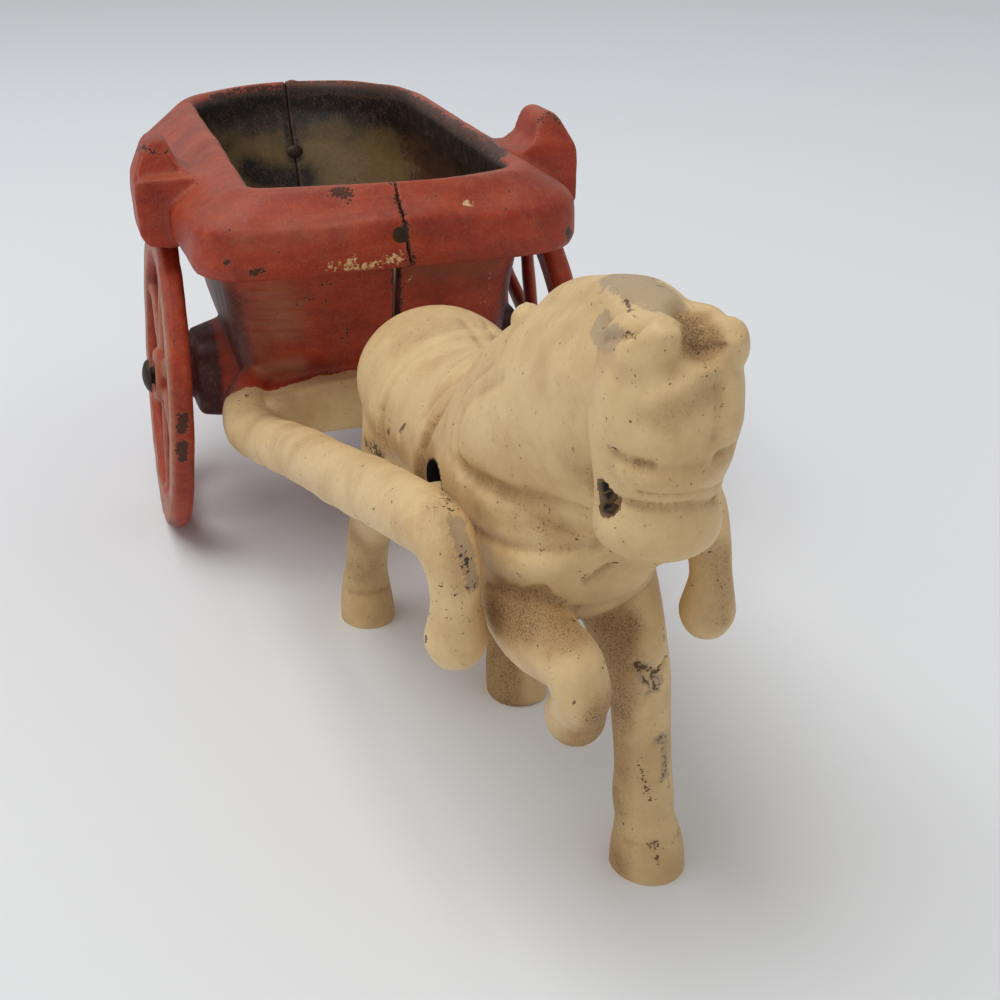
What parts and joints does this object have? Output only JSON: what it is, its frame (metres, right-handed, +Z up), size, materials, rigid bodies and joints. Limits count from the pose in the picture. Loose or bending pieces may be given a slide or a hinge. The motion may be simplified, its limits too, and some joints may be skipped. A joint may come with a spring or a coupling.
{
  "type": "toy horse carriage",
  "caption": "Cast iron toy two-wheeled cart with an open tub body, drawn by a horse that swings on pegs between its shafts.",
  "frame": {"origin": "on the floor, under the middle of the toy's box", "axes": "+X forward, from the cart to the horse; +Y to the toy's left; +Z up"},
  "size_m": [0.2018, 0.0708, 0.0725],
  "materials": {
    "red_paint": "worn satin red paint over cast iron",
    "cream_paint": "aged satin cream paint over cast iron",
    "bare_iron": "dark bare iron"
  },
  "bodies": {
    "cart": {"cart_right_half": "red_paint", "cart_left_half": "red_paint", "cart_front_rivet": "bare_iron", "cart_rear_rivet": "bare_iron", "axle": "bare_iron"},
    "right_wheel": {"wheel_right": "red_paint"},
    "left_wheel": {"wheel_left": "red_paint"},
    "horse": {"horse_right_half": "cream_paint", "horse_left_half": "cream_paint", "horse_flank_rivet": "cream_paint", "horse_chest_rivet": "cream_paint"}
  },
  "joints": [
    {"name": "right_wheel_spin", "type": "hinge", "parent": "cart", "child": "right_wheel", "pos_m": [-0.03901, -0.03145, 0.025], "axis": [0, 0.9976, -0.0698], "continuous": true},
    {"name": "left_wheel_spin", "type": "hinge", "parent": "cart", "child": "left_wheel", "pos_m": [-0.03901, 0.03145, 0.025], "axis": [0, 0.9976, 0.0698], "continuous": true},
    {"name": "horse_swing", "type": "hinge", "parent": "cart", "child": "horse", "pos_m": [0.05799, 0, 0.0415], "axis": [0, 1, 0], "range_deg": [-25, 20]}
  ]
}
